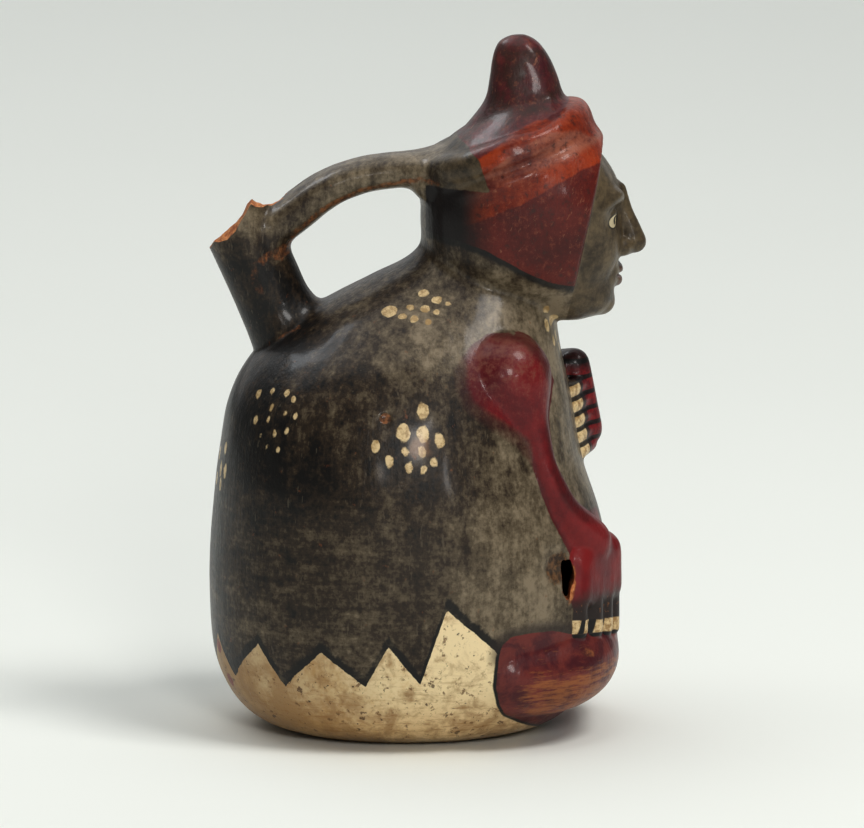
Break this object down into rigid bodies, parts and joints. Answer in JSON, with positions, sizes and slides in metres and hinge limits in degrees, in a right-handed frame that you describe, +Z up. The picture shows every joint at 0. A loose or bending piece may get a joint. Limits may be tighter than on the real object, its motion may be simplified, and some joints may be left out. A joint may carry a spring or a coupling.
{
  "type": "effigy bottle",
  "caption": "Hollow bottle of painted fired clay, shaped as a seated figure in a peaked cap, with a strap handle from the cap to a broken spout.",
  "frame": {"origin": "centre of the flat underside", "axes": "+Z up; the figure faces -Y and its right hand side is -X"},
  "size_m": [0.1001, 0.1188, 0.19],
  "materials": {
    "burnished_slip": "burnished dark slip with dark red and cream painted areas, worn to orange clay"
  },
  "bodies": {
    "root": {"effigy_bottle": "burnished_slip"}
  },
  "joints": []
}
